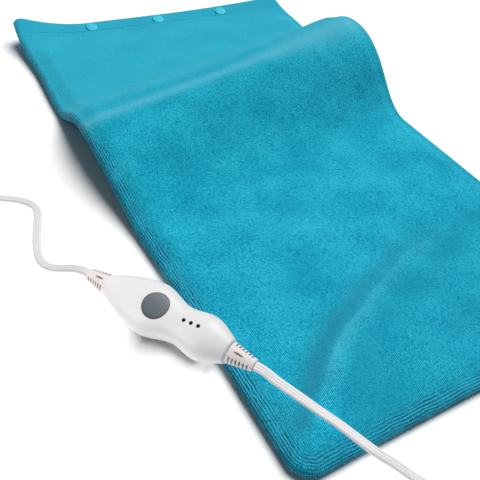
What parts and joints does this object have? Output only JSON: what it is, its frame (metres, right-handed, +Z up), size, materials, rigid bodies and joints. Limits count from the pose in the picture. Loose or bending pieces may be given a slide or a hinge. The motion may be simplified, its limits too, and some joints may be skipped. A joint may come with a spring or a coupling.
{
  "type": "heating pad with controller",
  "caption": "Soft rectangular heating pad lying in a raised fold, with a hand controller whose power button presses, joined by a flat cord, and a wound-up mains lead with plug.",
  "frame": {"origin": "on the pad's flat underside, on its centreline, 150 mm in from the near edge", "axes": "+Y along the pad from the near edge to the snaps, +Z up out of the pad, +X across it to the right"},
  "size_m": [0.5314, 0.7279, 0.068],
  "materials": {
    "cover_cloth": "short plush, matt, fine lengthwise wales",
    "felt": "needled felt",
    "snap_plastic": "satin moulded plastic",
    "case_plastic": "satin moulded plastic",
    "button_plastic": "satin",
    "lens_plastic": "clear dark lens",
    "lamp": "clear",
    "board": "lacquered laminate",
    "component": "moulded",
    "component_red": "dipped",
    "wire_white": "insulated wire",
    "cord_sheath": "soft satin sheath",
    "heating_wire": "insulated wire",
    "steel": "plated",
    "blade_brass": "bright"
  },
  "bodies": {
    "pad": {"case_screw_1": "steel", "case_screw_2": "steel", "case_screw_3": "steel", "case_screw_4": "steel", "circuit_board": "board", "coil_tie": "case_plastic", "control_chip": "component", "controller_bottom": "case_plastic", "controller_top": "case_plastic", "cover_back": "cover_cloth", "cover_front": "cover_cloth", "felt_bottom": "felt", "felt_top": "felt", "film_capacitor": "component_red", "fuse": "steel", "heating_wire": "heating_wire", "lamp_1": "lamp", "lamp_2": "lamp", "lamp_3": "lamp", "light_lens_1": "lens_plastic", "light_lens_2": "lens_plastic", "light_lens_3": "lens_plastic", "mains_coil": "cord_sheath", "mains_lead": "cord_sheath", "mains_tail": "cord_sheath", "mains_wire_1": "component", "mains_wire_2": "wire_white", "pad_gland": "case_plastic", "pad_lead": "cord_sheath", "pad_wire_1": "component", "pad_wire_2": "wire_white", "plug_blade_1": "blade_brass", "plug_blade_2": "blade_brass", "plug_body": "case_plastic", "relief_mains": "case_plastic", "relief_pad": "case_plastic", "snap_back_1": "snap_plastic", "snap_back_2": "snap_plastic", "snap_back_3": "snap_plastic", "snap_cap_1": "snap_plastic", "snap_cap_2": "snap_plastic", "snap_cap_3": "snap_plastic", "snap_socket_1": "snap_plastic", "snap_socket_2": "snap_plastic", "snap_socket_3": "snap_plastic", "snap_stud_1": "snap_plastic", "snap_stud_2": "snap_plastic", "snap_stud_3": "snap_plastic", "storage_capacitor": "component", "switch_body": "component", "terminal_block": "case_plastic", "thermostat_1": "component", "thermostat_2": "component", "triac": "component"},
    "button": {"power_button": "button_plastic"},
    "plunger": {"switch_plunger": "component"}
  },
  "joints": [
    {"name": "button_press", "type": "slide", "parent": "pad", "child": "button", "axis": [0.3514, 0.1219, -0.9282], "range_m": [0, 0.0008], "stiffness_N_per_m": 2500},
    {"name": "plunger_press", "type": "slide", "parent": "pad", "child": "plunger", "axis": [0.3514, 0.1219, -0.9282], "range_m": [0, 0.0005]}
  ],
  "couplings": [
    {"joint": "plunger_press", "follows": "button_press", "ratio": 0.625}
  ]
}
